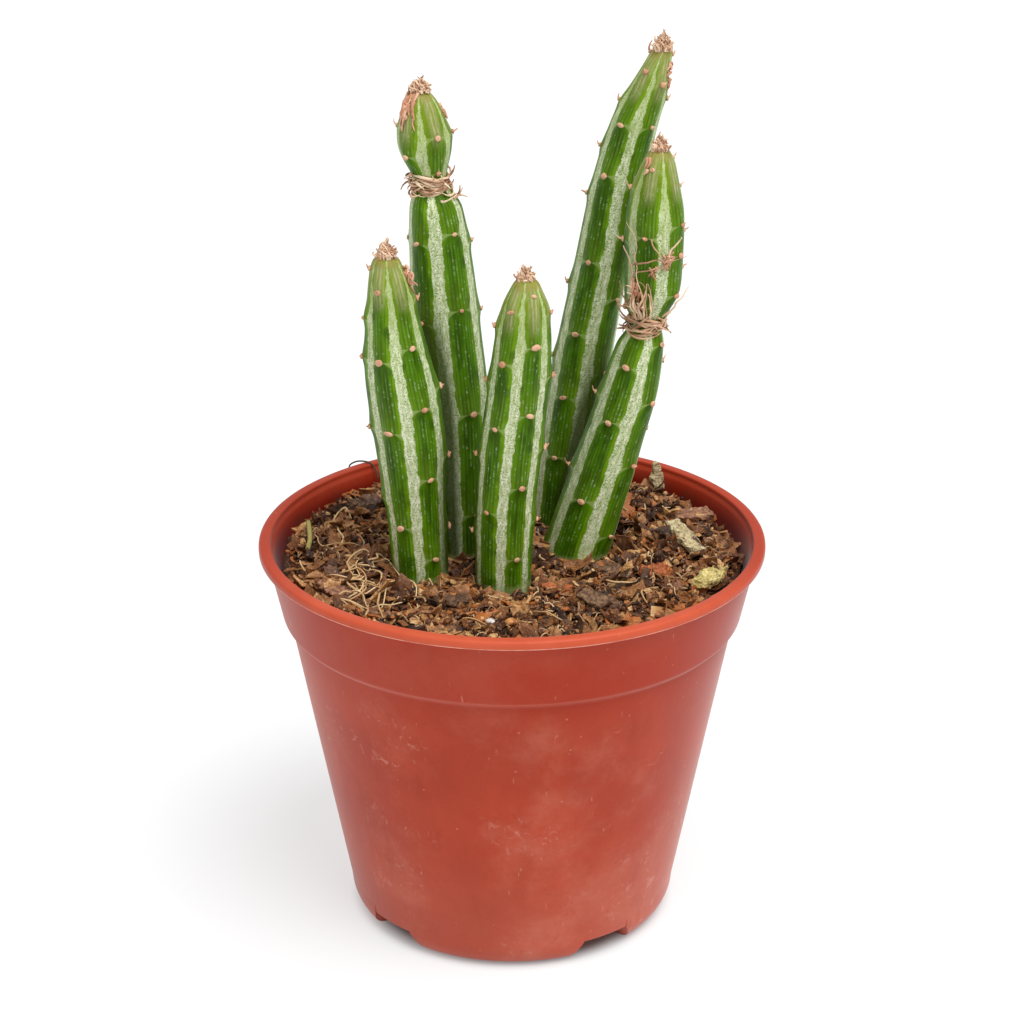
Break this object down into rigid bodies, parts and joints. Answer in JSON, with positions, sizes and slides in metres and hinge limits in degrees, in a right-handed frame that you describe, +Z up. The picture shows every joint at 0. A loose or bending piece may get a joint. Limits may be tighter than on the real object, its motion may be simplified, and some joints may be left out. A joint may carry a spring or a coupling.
{
  "type": "potted succulent",
  "caption": "Pickle plant with ribbed green stems rooted in bark compost, in a round moulded nursery pot with a rolled lip, collar and notched foot.",
  "frame": {"origin": "centre of the pot's foot, on the surface that it stands on", "axes": "+Z up along the pot's axis; -Y towards the front, where the short middle stem stands; +X to the right, where the tall stem leans"},
  "size_m": [0.105, 0.105, 0.1862],
  "materials": {
    "pot_plastic": "moulded terracotta-orange plastic, satin, lightly scuffed and dusty",
    "compost": "damp bark and peat compost, matte",
    "stem_skin": "waxy green skin with silver-white furrows, slightly glossy",
    "dried_leaf": "dried tan leaf tissue, matte",
    "bark": "weathered bark, matte",
    "pale_wood": "pale fibrous wood, matte",
    "rootlet": "dry tan rootlets, matte",
    "stalk": "withered yellow-green grass stalk",
    "grit": "small pale and amber stones"
  },
  "bodies": {
    "root": {"pot": "pot_plastic", "soil": "compost", "stem_front_left": "stem_skin", "crown_front_left": "dried_leaf", "stem_back_left": "stem_skin", "crown_back_left": "dried_leaf", "stem_front_middle": "stem_skin", "crown_front_middle": "dried_leaf", "stem_tall_right": "stem_skin", "crown_tall_right": "dried_leaf", "stem_front_right": "stem_skin", "crown_front_right": "dried_leaf", "collar_back_left": "dried_leaf", "collar_front_right": "dried_leaf", "leaf_flake": "dried_leaf", "yellow_chip": "pale_wood", "pale_chip": "pale_wood", "standing_chip": "pale_wood", "bark_flake_right": "bark", "bark_flake_front": "bark", "bark_flake_middle": "bark", "bark_flake_side": "bark", "orange_bark_chip": "bark", "bark_flake_back": "bark", "bark_flake_far": "bark", "grass_stalk": "stalk", "rootlet_loop": "rootlet", "rootlet_long": "rootlet", "rootlet_rim": "rootlet", "white_grit": "grit", "amber_grit": "grit", "pebble": "grit"}
  },
  "joints": []
}
